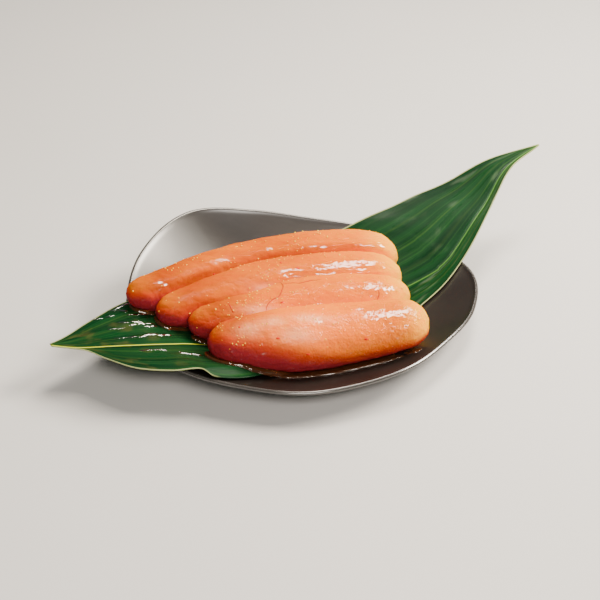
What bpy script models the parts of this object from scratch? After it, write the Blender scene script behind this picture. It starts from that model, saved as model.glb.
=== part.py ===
"""Seasoned roe served in its dish: four lobes side by side on one broad leaf.

The dish stands on its foot, on z = 0, with the foot's centre at the origin.
The lobes run from left (-X) to right (+X), lobe 1 at the back and lobe 4 in front.
Lengths below are in millimetres, angles in degrees; MM turns them into metres.
"""

import math

import bmesh
import bpy
import numpy as np

MM = 0.001
COLLECTION = "seasoned_roe_in_dish"

# Dish: radius and height of the rim at even steps of angle, from +X round to the left.
# The back left side is pulled up into a high lip.
RIM_RADII = [94.9, 103.1, 93.5, 84.6, 79.4, 83.8, 97.8, 101.4, 99.6, 96.5, 90.3, 82.2, 80.4, 78.2, 79.8, 84.0]
RIM_HEIGHTS = [20.0, 21.6, 25.0, 28.0, 33.0, 39.0, 42.0, 34.0, 23.5, 22.5, 22.0, 20.3, 19.8, 19.6, 19.6, 19.8]
FLOOR_HEIGHT = 5.0
FLOOR_SHARE = 0.34
WALL_CURL = 1.7
WALL_UNDER = 3.4
RIM_THICKNESS = 2.4
FOOT_SHARE = 0.50
FOOT_HEIGHT = 2.2
FOOT_TAPER = 0.008
DISH_SEGMENTS = 64
INSIDE_START = 0.12
INSIDE_RINGS = 9
UNDER_RINGS = 6
# Rounding of the rim, from the inside over the top to the outside: distance in from the
# rim's outermost line, and height against the inner face.
RIM_ROUNDING = [(3.1, 0.0), (1.8, 0.25), (0.7, 0.10), (0.0, -0.8), (0.3, -2.1)]
RIM_UNDER_INSET = 2.2

# Leaf: both edges in its own axes, where a runs from stalk to tip and t across, towards the back.
LEAF_HEADING = 30.0
LEAF_BACK_EDGE = [
    (-140, 28.5), (-114, 36.8), (-94, 44.1), (-60, 50.5), (-15, 54.0), (25, 54.0), (58, 52.3),
    (94, 48.5), (121, 46.3), (148, 43.3), (169, 38.7), (184, 33.5),
]
LEAF_FRONT_EDGE = [
    (-140, 25.5), (-126, 14.5), (-119, 1.0), (-109, -15.0), (-94, -26.4), (-81, -31.0), (-75, -38.0),
    (-60, -39.5), (-40, -37.0), (0, -36.0), (35, -30.0), (64, -21.4), (84, -15.5), (103, -7.0),
    (121, 3.0), (142, 17.3), (162, 28.2), (184, 32.5),
]
LEAF_THICKNESS = 0.7
LEAF_LIFT = 1.3
LEAF_LEFT_HEIGHT = 25.5
LEAF_RIM_CLEARANCE = 2.3
LEAF_RISE = 0.36
LEAF_SOFTNESS = 0.8
# On the left it bridges between these shares of the way out to the rim.
BRIDGE_START = 0.40
BRIDGE_END = 1.04
# It lies on the dish to the right of one place along, and in front of one place across.
LYING_ALONG = (-25.0, 25.0)
LYING_ACROSS = (-31.0, -40.0)
LEAF_WAVE = 1.0
LEAF_WAVE_LENGTH = 52.0
LEAF_WAVE_SLANT = 20.0
LOOSE_SHARE = (1.08, 1.38)
LEAF_ROWS = 48
LEAF_COLUMNS = 9

# Roe: centre line (x, y, z) with half width and half height, from the left tip to the right tip.
LOBE_1 = [
    (-98.5, -8.5, 33.5, 8.0, 8.0), (-87.0, -5.5, 32.0, 10.2, 9.6), (-74.0, 3.0, 29.5, 12.6, 11.8),
    (-56.5, 19.0, 26.5, 14.0, 13.5), (-31.5, 34.5, 24.5, 14.5, 14.5), (-3.0, 42.0, 25.0, 15.0, 15.0),
    (23.5, 45.0, 25.5, 15.0, 15.0), (39.0, 44.5, 25.3, 14.0, 14.0), (54.0, 43.5, 24.0, 10.0, 10.0),
]
LOBE_2 = [
    (-80.5, -20.0, 29.0, 7.6, 7.6), (-71.5, -13.5, 26.5, 9.6, 9.4), (-58.0, -3.0, 23.5, 13.0, 12.0),
    (-42.0, 7.0, 21.8, 15.0, 14.0), (-22.5, 16.5, 21.8, 16.0, 15.0), (-3.0, 22.3, 21.7, 16.0, 15.0),
    (23.0, 25.8, 21.8, 16.0, 15.0), (40.5, 26.5, 21.8, 14.5, 14.0), (55.5, 29.5, 22.0, 9.5, 10.0),
]
LOBE_3 = [
    (-63.0, -25.0, 23.0, 7.2, 7.2), (-55.0, -20.5, 22.3, 9.3, 9.2), (-41.0, -17.0, 21.2, 12.5, 12.5),
    (-22.0, -13.0, 21.5, 14.5, 14.5), (-3.0, -4.5, 22.0, 16.5, 15.5), (22.0, 0.8, 22.0, 16.5, 15.5),
    (42.0, 4.0, 21.3, 14.0, 14.0), (58.0, 11.5, 21.5, 9.0, 10.0),
]
LOBE_4 = [
    (-52.0, -44.0, 25.0, 9.0, 8.5), (-42.5, -42.0, 24.0, 12.2, 11.0), (-32.0, -40.8, 23.7, 15.2, 13.2),
    (-18.0, -39.5, 23.6, 17.8, 15.5), (-3.0, -38.0, 23.6, 19.0, 16.5), (20.5, -32.5, 23.4, 18.0, 15.5),
    (45.0, -27.5, 24.3, 16.0, 13.8), (67.0, -26.0, 27.3, 12.5, 11.5),
]
LOBES = [LOBE_1, LOBE_2, LOBE_3, LOBE_4]
LOBE_TIP_LENGTHS = (10.0, 12.0)
LOBE_ROUNDNESS = 2.15
LOBE_RINGS = 32
LOBE_SIDES = 24
LOBE_EVENNESS = 0.35
LOBE_CONTACT_FADE = 0.8
CONTACT_GAP = 0.6
BED_GAP = 1.2
LINE_POINTS = 200
SHARP_ANGLE = 50.0

ROE_COLOUR = (0.83, 0.27, 0.12, 1.0)
ROE_ROUGHNESS = 0.35
LEAF_COLOUR = (0.02, 0.13, 0.035, 1.0)
LEAF_ROUGHNESS = 0.30
GLAZE_COLOUR = (0.035, 0.034, 0.036, 1.0)
GLAZE_ROUGHNESS = 0.32


def clear_scene():
    for item in list(bpy.data.objects):
        bpy.data.objects.remove(item, do_unlink=True)


def material(name, colour, roughness):
    result = bpy.data.materials.new(name)
    result.use_nodes = True
    shader = result.node_tree.nodes["Principled BSDF"]
    shader.inputs["Base Color"].default_value = colour
    shader.inputs["Roughness"].default_value = roughness
    result.diffuse_color = colour
    return result


def smooth_step(value, start, end):
    """Soft step from 0 at start to 1 at end."""
    share = np.clip((value - start) / (end - start), 0.0, 1.0)
    return share * share * (3.0 - 2.0 * share)


def through_points(before, start, end, after, share):
    """Catmull-Rom value between start and end."""
    slope = end - before
    bend = 2.0 * before - 5.0 * start + 4.0 * end - after
    turn = 3.0 * (start - end) + after - before
    return start + 0.5 * share * (slope + share * (bend + share * turn))


def round_the_rim(values, angle):
    """Smooth closed curve through values that stand at even steps of angle."""
    values = np.asarray(values)
    count = len(values)
    place = (np.asarray(angle) / (2.0 * math.pi)) % 1.0 * count
    first = np.floor(place).astype(int)
    share = place - first
    picks = [values[(first + step) % count] for step in (-1, 0, 1, 2)]
    return through_points(*picks, share)


def smooth_line(points, count):
    """Points at even distances along a smooth open curve through the given rows."""
    rows = np.asarray(points, dtype=float)
    padded = np.vstack([2.0 * rows[0] - rows[1], rows, 2.0 * rows[-1] - rows[-2]])
    steps = np.linalg.norm(np.diff(rows[:, :3], axis=0), axis=1)
    marks = np.concatenate([[0.0], np.cumsum(steps)])
    places = np.linspace(0.0, marks[-1], count)
    first = np.clip(np.searchsorted(marks, places, side="right") - 1, 0, len(rows) - 2)
    share = ((places - marks[first]) / steps[first])[:, None]
    picks = [padded[first + step] for step in range(4)]
    return places, through_points(*picks, share)


def dish_height(x, y):
    """Height of the dish's inner face, and the point's share of the way out to the rim."""
    angle = np.arctan2(y, x)
    radius = round_the_rim(RIM_RADII, angle)
    share = np.hypot(x, y) / radius
    climb = np.clip((share - FLOOR_SHARE) / (1.0 - FLOOR_SHARE), 0.0, None) ** WALL_CURL
    rim = round_the_rim(RIM_HEIGHTS, angle)
    return FLOOR_HEIGHT + (rim - FLOOR_HEIGHT) * climb, share, rim, radius


def leaf_axes(x, y):
    turn = math.radians(LEAF_HEADING)
    along = x * math.cos(turn) + y * math.sin(turn)
    across = -x * math.sin(turn) + y * math.cos(turn)
    return along, across


def leaf_height(x, y):
    """Height of the leaf's lower face.

    Right and front it lies on the dish, over the right rim it keeps rising, and on the left
    it bridges from the floor to the rim and goes out level.
    """
    inner, share, rim, radius = dish_height(x, y)
    along, across = leaf_axes(x, y)
    base = FLOOR_HEIGHT + LEAF_LIFT
    left_top = np.maximum(rim + LEAF_RIM_CLEARANCE, LEAF_LEFT_HEIGHT)
    bridging = base + (left_top - base) * smooth_step(share, BRIDGE_START, BRIDGE_END)
    bridging = np.maximum(bridging, np.minimum(inner, rim) + LEAF_LIFT)
    free = rim + LEAF_RIM_CLEARANCE + LEAF_RISE * np.clip(share - 1.0, 0.0, None) * radius
    low_inner = np.exp(-(inner + LEAF_LIFT) / LEAF_SOFTNESS)
    low_free = np.exp(-free / LEAF_SOFTNESS)
    lying = -LEAF_SOFTNESS * np.log(low_inner + low_free)
    follow = np.maximum(smooth_step(along, *LYING_ALONG), smooth_step(across, *LYING_ACROSS))
    phase = 2.0 * math.pi * along / LEAF_WAVE_LENGTH + across / LEAF_WAVE_SLANT
    wave = LEAF_WAVE * np.sin(phase) * smooth_step(share, *LOOSE_SHARE)
    return bridging * (1.0 - follow) + lying * follow + wave


def closed_mesh_object(name, rings, collection, finish, first_point, last_point):
    """Object from rings of points, each closed with the next, its ends fanned to one point each."""
    shape = bmesh.new()
    count = len(rings[0])
    loops = [[shape.verts.new(point * MM) for point in ring] for ring in rings]
    for lower, upper in zip(loops, loops[1:]):
        for side in range(count):
            after = (side + 1) % count
            shape.faces.new((lower[side], lower[after], upper[after], upper[side]))
    for ring, end in ((loops[0], first_point), (loops[-1], last_point)):
        tip = shape.verts.new(end * MM)
        for side in range(count):
            shape.faces.new((ring[side], ring[(side + 1) % count], tip))
    finished_object(name, shape, collection, finish)


def finished_object(name, shape, collection, finish):
    """Object from a closed bmesh, in triangles, with its faces pointing out."""
    bmesh.ops.triangulate(shape, faces=shape.faces[:])
    bmesh.ops.recalc_face_normals(shape, faces=shape.faces[:])
    if shape.calc_volume(signed=True) < 0.0:
        bmesh.ops.reverse_faces(shape, faces=shape.faces[:])
    mesh = bpy.data.meshes.new(name)
    shape.to_mesh(mesh)
    shape.free()
    mesh.shade_smooth()
    mesh.set_sharp_from_angle(angle=math.radians(SHARP_ANGLE))
    mesh.materials.append(finish)
    item = bpy.data.objects.new(name, mesh)
    collection.objects.link(item)


def dish_ring(share, height_at):
    """One ring of the dish: share is the way out to the rim, height_at gives z from x and y."""
    angle = np.linspace(0.0, 2.0 * math.pi, DISH_SEGMENTS, endpoint=False)
    radius = share * round_the_rim(RIM_RADII, angle)
    x, y = radius * np.cos(angle), radius * np.sin(angle)
    return np.column_stack([x, y, height_at(x, y)])


def under_height(x, y):
    """Height of the underside: the wall thins from the foot to the rim."""
    inner, share, _, _ = dish_height(x, y)
    outward = smooth_step(share, FOOT_SHARE, 1.0)
    return inner - WALL_UNDER + (WALL_UNDER - RIM_THICKNESS) * outward


def level(height):
    return lambda x, y: np.full_like(x, height)


def above_inner(offset):
    return lambda x, y: dish_height(x, y)[0] + offset


def make_dish(collection, glaze):
    """The dish's wall, from the middle of its inner face over the rim to the middle of its sole."""
    mean_radius = float(np.mean(RIM_RADII))
    inset, offset = np.array(RIM_ROUNDING).T
    inside = np.linspace(INSIDE_START, 1.0 - inset[0] / mean_radius, INSIDE_RINGS)
    rings = [dish_ring(share, above_inner(offset[0])) for share in inside]
    for distance, height in zip(inset[1:], offset[1:]):
        rings.append(dish_ring(1.0 - distance / mean_radius, above_inner(height)))
    under = np.linspace(1.0 - RIM_UNDER_INSET / mean_radius, FOOT_SHARE + FOOT_TAPER, UNDER_RINGS)
    rings += [dish_ring(share, under_height) for share in under]
    rings.append(dish_ring(FOOT_SHARE, level(FOOT_HEIGHT)))
    rings.append(dish_ring(FOOT_SHARE - FOOT_TAPER, level(0.0)))
    top, bottom = np.array([0.0, 0.0, FLOOR_HEIGHT]), np.zeros(3)
    closed_mesh_object("dish", rings, collection, glaze, top, bottom)


def leaf_edge(points, along):
    """Distance across at each place along, on a smooth curve through the edge's points."""
    _, dense = smooth_line([(a, t, 0.0) for a, t in points], LINE_POINTS)
    return np.interp(along, dense[:, 0], dense[:, 1])


def make_leaf(collection, green):
    """A thin sheet, wavy where it is loose, its two faces split into the same triangles."""
    start, end = LEAF_BACK_EDGE[0][0], LEAF_BACK_EDGE[-1][0]
    along = np.linspace(start, end, LEAF_ROWS)
    back, front = leaf_edge(LEAF_BACK_EDGE, along), leaf_edge(LEAF_FRONT_EDGE, along)
    turn = math.radians(LEAF_HEADING)
    shape = bmesh.new()
    faces = []
    for offset in (0.0, LEAF_THICKNESS):
        grid = []
        for place, low, high in zip(along, front, back):
            across = np.linspace(low, high, LEAF_COLUMNS)
            x = place * math.cos(turn) - across * math.sin(turn)
            y = place * math.sin(turn) + across * math.cos(turn)
            z = leaf_height(x, y) + offset
            grid.append([shape.verts.new((px * MM, py * MM, pz * MM)) for px, py, pz in zip(x, y, z)])
        faces.append(grid)
    lower, upper = faces
    for row in range(LEAF_ROWS - 1):
        for column in range(LEAF_COLUMNS - 1):
            for grid in (lower, upper):
                near, far = grid[row], grid[row + 1]
                shape.faces.new((near[column], far[column], far[column + 1]))
                shape.faces.new((near[column], far[column + 1], near[column + 1]))
    corners = [(0, column) for column in range(LEAF_COLUMNS)]
    corners += [(row, LEAF_COLUMNS - 1) for row in range(1, LEAF_ROWS)]
    corners += [(LEAF_ROWS - 1, column) for column in range(LEAF_COLUMNS - 2, -1, -1)]
    corners += [(row, 0) for row in range(LEAF_ROWS - 2, 0, -1)]
    for (row, column), (next_row, next_column) in zip(corners, corners[1:] + corners[:1]):
        bottom = lower[row][column], lower[next_row][next_column]
        top = upper[next_row][next_column], upper[row][column]
        shape.faces.new((*bottom, *top))
    finished_object("leaf", shape, collection, green)


def lobe_rings(rows):
    """Rings of one lobe before it is pressed, with its tips rounded off."""
    places, line = smooth_line(rows, LINE_POINTS)
    length = places[-1]
    even = np.linspace(0.0, 1.0, LOBE_RINGS + 2)[1:-1]
    crowded = 0.5 - 0.5 * np.cos(math.pi * even)
    stations = (LOBE_EVENNESS * even + (1.0 - LOBE_EVENNESS) * crowded) * length
    left, right = LOBE_TIP_LENGTHS
    from_left = 1.0 - np.clip(stations / left, 0.0, 1.0)
    from_right = 1.0 - np.clip((length - stations) / right, 0.0, 1.0)
    taper = np.sqrt(1.0 - from_left**2) * np.sqrt(1.0 - from_right**2)
    values = np.column_stack([np.interp(stations, places, column) for column in line.T])
    centre, half_width, half_height = values[:, :3], values[:, 3] * taper, values[:, 4] * taper
    forward = np.gradient(centre, axis=0)
    forward /= np.linalg.norm(forward, axis=1)[:, None]
    across = np.column_stack([-forward[:, 1], forward[:, 0], np.zeros(len(forward))])
    across /= np.linalg.norm(across, axis=1)[:, None]
    upward = np.cross(forward, across)
    angle = np.linspace(0.0, 2.0 * math.pi, LOBE_SIDES, endpoint=False)
    power = 2.0 / LOBE_ROUNDNESS
    sideways = np.sign(np.cos(angle)) * np.abs(np.cos(angle)) ** power
    height = np.sign(np.sin(angle)) * np.abs(np.sin(angle)) ** power
    rings = centre[:, None, :] + (half_width[:, None] * sideways)[:, :, None] * across[:, None, :]
    rings = rings + (half_height[:, None] * height)[:, :, None] * upward[:, None, :]
    return rings, line[0, :3], line[-1, :3]


def contact_line(back_rows, front_rows, x):
    """Y of the face where two lobes meet, at each x; past a tip it moves clear of the longer lobe."""
    _, back = smooth_line(back_rows, LINE_POINTS)
    _, front = smooth_line(front_rows, LINE_POINTS)
    back_y, back_width = np.interp(x, back[:, 0], back[:, 1]), np.interp(x, back[:, 0], back[:, 3])
    front_y, front_width = np.interp(x, front[:, 0], front[:, 1]), np.interp(x, front[:, 0], front[:, 3])
    meeting = front_y + (back_y - front_y) * front_width / (front_width + back_width)
    past_front = np.clip(front[0, 0] - x, 0.0, None) + np.clip(x - front[-1, 0], 0.0, None)
    past_back = np.clip(back[0, 0] - x, 0.0, None) + np.clip(x - back[-1, 0], 0.0, None)
    return meeting + LOBE_CONTACT_FADE * (past_back - past_front)


def pressed(points, number):
    """Lobe points moved off its neighbours and off its bed, where soft roe flattens."""
    result = points.copy()
    if number > 0:
        limit = contact_line(LOBES[number - 1], LOBES[number], result[..., 0]) - CONTACT_GAP / 2.0
        result[..., 1] = np.minimum(result[..., 1], limit)
    if number < len(LOBES) - 1:
        limit = contact_line(LOBES[number], LOBES[number + 1], result[..., 0]) + CONTACT_GAP / 2.0
        result[..., 1] = np.maximum(result[..., 1], limit)
    bed = leaf_height(result[..., 0], result[..., 1]) + LEAF_THICKNESS + BED_GAP
    result[..., 2] = np.maximum(result[..., 2], bed)
    return result


def make_lobe(collection, number, skin):
    rings, left_tip, right_tip = lobe_rings(LOBES[number])
    rings = pressed(rings, number)
    ends = pressed(np.array([left_tip, right_tip]), number)
    name = f"roe_lobe_{number + 1}"
    closed_mesh_object(name, rings, collection, skin, ends[0], ends[1])


def main():
    clear_scene()
    collection = bpy.data.collections.new(COLLECTION)
    bpy.context.scene.collection.children.link(collection)
    make_dish(collection, material("dark_glaze", GLAZE_COLOUR, GLAZE_ROUGHNESS))
    make_leaf(collection, material("leaf_green", LEAF_COLOUR, LEAF_ROUGHNESS))
    skin = material("roe_skin", ROE_COLOUR, ROE_ROUGHNESS)
    for number in range(len(LOBES)):
        make_lobe(collection, number, skin)


main()
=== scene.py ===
"""Looks of the seasoned roe in its dish: glaze, leaf, roe skin, seasoning liquid and spice.

The frame's solids give every place. Lengths are in millimetres unless a name says otherwise,
and MM turns them into metres. The lobes run along X, lobe 1 at the back and lobe 4 in front.
"""

import math

import bmesh
import bpy
import numpy as np
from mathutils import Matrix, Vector, noise
from mathutils.bvhtree import BVHTree


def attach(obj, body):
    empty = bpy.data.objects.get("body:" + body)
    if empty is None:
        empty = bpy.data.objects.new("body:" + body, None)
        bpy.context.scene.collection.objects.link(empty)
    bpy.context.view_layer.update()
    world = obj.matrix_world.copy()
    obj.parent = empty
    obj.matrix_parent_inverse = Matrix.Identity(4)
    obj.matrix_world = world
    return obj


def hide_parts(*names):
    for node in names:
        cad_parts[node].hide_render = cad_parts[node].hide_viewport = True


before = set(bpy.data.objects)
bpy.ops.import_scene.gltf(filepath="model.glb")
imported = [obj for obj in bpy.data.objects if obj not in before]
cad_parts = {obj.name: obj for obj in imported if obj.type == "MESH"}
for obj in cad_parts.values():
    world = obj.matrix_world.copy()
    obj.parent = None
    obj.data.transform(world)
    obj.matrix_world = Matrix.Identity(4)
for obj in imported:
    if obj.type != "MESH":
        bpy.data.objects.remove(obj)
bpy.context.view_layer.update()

MM = 0.001
BODY = "root"

# Camera: what it looks at in metres, how far off and how high it stands, and its lens.
CAMERA_TARGET = (-0.0028, 0.0062, 0.020)
CAMERA_DISTANCE = 0.85
CAMERA_ELEVATION = math.radians(33.0)
CAMERA_LENS = 91.0
CAMERA_SENSOR = 36.0

# Lights: name, place in metres, width, depth, power and colour. All of them face one target.
LIGHT_TARGET = (0.0, 0.0, 0.02)
LIGHTS = [
    ("overhead", (0.17, 0.28, 1.00), 0.32, 0.48, 12.5, (1.0, 0.90, 0.76)),
    ("right", (0.64, 0.16, 0.63), 0.38, 0.32, 17.0, (1.0, 0.90, 0.76)),
    ("back", (0.36, 0.68, 0.80), 0.34, 0.26, 4.0, (1.0, 0.93, 0.84)),
    ("front", (0.15, -0.85, 0.75), 0.6, 0.25, 11.0, (1.0, 0.93, 0.84)),
]
WORLD_COLOUR = (0.9, 0.95, 1.0, 1.0)
WORLD_STRENGTH = 0.06
FLOOR_REACH = 4000.0

# Dish, as in the solid: radius and height of the rim at even steps of angle from +X.
RIM_RADII = [
    94.9, 103.1, 93.5, 84.6, 79.4, 83.8, 97.8, 101.4,
    99.6, 96.5, 90.3, 82.2, 80.4, 78.2, 79.8, 84.0,
]
RIM_HEIGHTS = [
    20.0, 21.6, 25.0, 28.0, 33.0, 39.0, 42.0, 34.0,
    23.5, 22.5, 22.0, 20.3, 19.8, 19.6, 19.6, 19.8,
]
FLOOR_HEIGHT = 5.0
FLOOR_SHARE = 0.34
WALL_CURL = 1.7
WALL_UNDER = 3.4
RIM_THICKNESS = 2.4
FOOT_SHARE = 0.50
FOOT_HEIGHT = 2.2
FOOT_TAPER = 0.008
# The rim from the inside over the top: distance in from its outermost line, and height.
RIM_ROUNDING = [(3.1, 0.0), (2.0, 0.2), (1.2, 0.2), (0.3, -0.72), (0.0, -1.3), (0.35, -2.1)]
RIM_UNDER_INSET = 2.2
# Painted highlight along the rim: the glaze is painted pale from the first to the second place, in
# from the rim and below it.
RIM_HIGHLIGHT_INSETS = (1.5, 0.8)
RIM_HIGHLIGHT_DEPTHS = (1.2, 0.6)
# Rings that give the wall's shape, as shares of the way out, and the fine ones made from them.
INSIDE_SHARES = (0.12, 0.2)
INSIDE_STEPS = 20
UNDER_STEPS = 12
DISH_SEGMENTS = 288
DISH_RINGS = 150

# Leaf, as in the solid: both edges, where a runs from stalk to tip and t across to the back.
LEAF_HEADING = math.radians(30.0)
LEAF_BACK_EDGE = [
    (-140, 28.5), (-114, 36.8), (-94, 44.1), (-60, 50.5), (-15, 54.0), (25, 54.0), (58, 52.3),
    (94, 48.5), (121, 46.3), (148, 43.3), (169, 38.7), (184, 33.5),
]
LEAF_FRONT_EDGE = [
    (-140, 25.5), (-126, 14.5), (-119, 1.0), (-109, -15.0), (-94, -26.4), (-81, -31.0),
    (-75, -38.0), (-60, -39.5), (-40, -37.0), (0, -36.0), (35, -30.0), (64, -21.4),
    (84, -15.5), (103, -7.0), (121, 3.0), (142, 17.3), (162, 28.2), (184, 32.5),
]
LEAF_MIDRIB = [
    (-140, 27.0), (-131, 20.5), (-123.4, 16.0), (-115.5, 11.6), (-108.5, 7.9), (-94.4, 1.5),
    (-83, 0.3), (-68.2, 2.8), (-40, 5.0), (0, 5.0), (40, 1.5), (82.9, -2.7), (89.5, -2.1),
    (96.3, -0.8), (102.2, 1.5), (117.1, 8.2), (133.5, 16.8), (152.6, 27.5), (168, 32.0),
    (184, 33.0),
]
LEAF_LIFT = 1.3
LEAF_THICKNESS = 0.7
LEAF_LEFT_HEIGHT = 25.5
LEAF_RIM_CLEARANCE = 2.3
LEAF_RISE = 0.36
LEAF_SOFTNESS = 0.8
BRIDGE_START = 0.40
BRIDGE_END = 1.04
LYING_ALONG = (-25.0, 25.0)
LYING_ACROSS = (-31.0, -40.0)
LEAF_ROWS = 430
LEAF_COLUMNS = 112
# Columns crowd towards the midrib by this power.
LEAF_CROWDING = 1.15
LEAF_LOOK_THICKNESS = 0.5
RIB_MARGIN = 0.05

# Where the leaf is loose, past the dish's rim, it waves.
LEAF_WAVE = 1.0
LEAF_WAVE_LENGTH = 52.0
LEAF_WAVE_SLANT = 20.0
LOOSE_SHARE = (1.08, 1.38)

# The leaf's relief: ripples, fine veins, a groove at the midrib, and pale lines along it at
# these shares of the way to the edges.
RIPPLE_HEIGHT = 0.10
RIPPLE_SIZE = (70.0, 0.35, 1.0)
VEIN_HEIGHT = 0.014
VEINS_A_SIDE = 20.0
VEIN_FULL_REACH = 20.0
GROOVE_DEPTH = 0.30
GROOVE_WIDTH = 0.9
LEAF_LINES = (-0.55, -0.25, 0.22, 0.48, 0.74)
LEAF_LINE_WIDTH = 0.35
# The front half's edge is soaked, so green without the painted highlight line, between these
# places along.
SOAKED_FROM = (-79.0, -72.0)
SOAKED_TO = (60.0, 30.0)

LOBES = ["roe_lobe_1", "roe_lobe_2", "roe_lobe_3", "roe_lobe_4"]
# Painted light: how far each lobe's colour goes from orange to the paler tone painted on the
# better-lit front lobe.
PAINTED_LOBE_LIGHT = [0.0, 0.15, 0.55, 1.0]
LOBE_VOXEL = 0.6
LOBE_SMOOTH_FACTOR = 0.5
LOBE_SMOOTHING = 45
LOBE_BINS = 40
LOBE_LEAST_HALF = 7.0

# The skin's relief: what smoothing took off, then each noise's height and size. The shifts
# keep the noises and the lobes apart.
LOBE_REGAIN = 0.22
LUMP_HEIGHT, LUMP_SIZE = 0.35, (26.0, 14.0, 14.0)
DENT_HEIGHT, DENT_SIZE, DENT_SHIFT = 0.30, (9.0, 6.0, 6.0), 3.1
WRINKLE_DEPTH, WRINKLE_SIZE, WRINKLE_SHIFT = 0.16, (9.0, 3.2, 3.2), 5.7
WRINKLE_NARROWING = 3.0
SKIN_RIPPLE_HEIGHT, SKIN_RIPPLE_SIZE, SKIN_RIPPLE_SHIFT = 0.19, (3.8, 2.5, 2.5), 9.2
LOBE_SHIFT = 7.3

# Seasoning liquid: a film round the lobes' feet. It reaches this far from them, further in
# front, and ends in a rounded edge; against a lobe it climbs.
FILM_GRID = 0.35
FILM_MARGIN = 6.0
FILM_REACH = 1.9
FILM_FRONT_REACH = 1.3
FILM_FRONT = (-20.0, -45.0)
FILM_UNEVEN = 0.35
FILM_UNEVEN_SIZE = 16.0
FILM_LEAST_DEPTH = 0.04
FILM_DEPTH = 1.5
FILM_EDGE = 1.5
FILM_CLIMB = 1.6
FILM_CLIMB_WIDTH = 1.3
FILM_SINK = 0.08
# Lobes are looked for this far off, from this far above the bed.
FILM_SEARCH = 8.0
FILM_PROBE_HEIGHT = 0.4
FILM_HIDDEN_GAP = 1.3
FILM_LEAST_SLOPE = 0.15
LEAF_EDGE_FILLET = 3.0

# Patches of the skin, wet or with a soft sheen whose paler pink is a painted sheen: a point on the
# lobe, then the reach along X and across.
WET_PATCHES = [
    (41, -31, 38, 14, 5.4), (46, -36.5, 35.6, 9, 3.6), (29, 18.3, 35.1, 16, 3.0),
    (12, 14, 33.5, 7, 2.2), (39, -4.5, 33.5, 12, 3.6), (39, 37, 36, 9, 1.7),
    (10, 34.8, 35.5, 14, 1.7), (-45, 18.3, 37.9, 7, 2.0), (-76, -9.9, 38.3, 5, 3.5),
    (-6, 12, 34, 7, 2.2),
]
SOFT_SHEEN_PATCHES = [
    (-17.5, -43.8, 38.7, 10, 4.5), (3, -41.5, 39.3, 13, 4), (-5, -51, 36, 12, 5),
    (-29, -47, 36, 8, 5), (-20.0, 1.6, 30.3, 12, 3), (-23.3, -22.9, 32.5, 12, 3),
]

# Streaks of liquid on the leaf: both ends in plan.
STREAKS = [
    ((-106.3, -14.6), (-97.8, -14.3)), ((-95.7, -17.8), (-88.2, -14.8)),
    ((-99.7, -25.6), (-89.7, -23.5)), ((-95.3, -28.3), (-82.2, -22.2)),
    ((-85.3, -26.5), (-82.0, -24.8)), ((-104.4, -32.5), (-98.6, -31.5)),
    ((-99.4, -41.0), (-91.3, -39.5)), ((-90.0, -39.9), (-71.5, -28.7)),
    ((-85.3, -52.6), (-75.0, -50.4)), ((-65.1, -50.5), (-55.8, -48.5)),
    ((-114.4, -23.1), (-105.1, -19.4)), ((-102.6, -11.4), (-99.1, -8.0)),
]
# Each streak is a row of low drops, which stray a little from its line.
DROP_SPACING = 4.5
DROP_SHARES = (0.15, 0.85)
DROP_LENGTHS = (4.5, 8.0)
DROP_WIDTHS = (1.0, 1.8)
DROP_HEIGHT = 0.38
DROP_STRAY = 0.25
DROP_TURN = 0.08
DROP_RINGS = 6
DROP_SIDES = 20
DROP_EDGE_SINK = 0.25
DROP_SOLE_SINK = 0.3

# Fine blood vessels on the roe, as points on or near the lobes.
VESSELS = [
    [(-13.9, 2.5, 33.0), (-12.1, -5.6, 36.8), (-12.6, -9.7, 36.8), (-14.2, -14.6, 36.1),
     (-18.0, -17.3, 35.3), (-20.6, -20.9, 33.7), (-20.9, -25.0, 33.5)],
    [(-12.1, -3.6, 36.8), (-6.9, -3.0, 37.0), (-2.8, -3.5, 37.4), (2.7, -1.6, 37.5),
     (9.3, -0.2, 37.6)],
    [(40.1, -4.9, 33.7), (40.5, -7.2, 32.0), (39.4, -9.2, 30.0)],
    [(-41.9, -17.5, 33.5), (-40.1, -21.5, 32.8), (-38.4, -24.7, 31.1)],
]
VESSEL_RADIUS = 0.30
VESSEL_FLATNESS = 0.6
VESSEL_LIFT = 0.03
VESSEL_LEAST_TAPER = 0.02
VESSEL_SIDES = 6
VESSEL_STEPS = 8

# Spice: places of the chilli flakes that stand out, and how many more flakes and grains.
FLAKES = [
    (-13.5, 18.6, 36.7), (32.0, -46.4, 29.6), (1.4, -56.0, 26.7), (-14.3, -52.8, 34.6),
    (-50.9, 12.6, 33.2),
]
MORE_FLAKES = 9
GRAINS = 420
SPICE_SEED = 11
# Spice lies in clumps, and only where the skin faces up.
CLUMP_SIZE = 22.0
CLUMP_SHIFT = 4.0
CLUMP_STRENGTH = 2.0
LEAST_UPWARD = 0.05
GRAIN_RADII = (0.22, 0.50)
GRAIN_STRETCH = (0.75, 1.25)
GRAIN_LIFT = 0.35
FLAKE_LENGTHS = (0.9, 1.4)
FLAKE_WIDTHS = (0.6, 0.9)
FLAKE_THICKNESS = 0.2
FLAKE_ROUGHNESS = (0.75, 1.15)
FLAKE_LIFT = 0.08

LINE_POINTS = 400


def smooth_step(value, start, end):
    """Soft step from 0 at start to 1 at end."""
    share = np.clip((value - start) / (end - start), 0.0, 1.0)
    return share * share * (3.0 - 2.0 * share)


def through_points(before, start, end, after, share):
    """Catmull-Rom value between start and end."""
    slope = end - before
    bend = 2.0 * before - 5.0 * start + 4.0 * end - after
    turn = 3.0 * (start - end) + after - before
    return start + 0.5 * share * (slope + share * (bend + share * turn))


def round_the_rim(values, angle):
    """Smooth closed curve through values that stand at even steps of angle."""
    values = np.asarray(values)
    count = len(values)
    place = (np.asarray(angle) / (2.0 * math.pi)) % 1.0 * count
    first = np.floor(place).astype(int)
    picks = [values[(first + step) % count] for step in (-1, 0, 1, 2)]
    return through_points(*picks, place - first)


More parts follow.
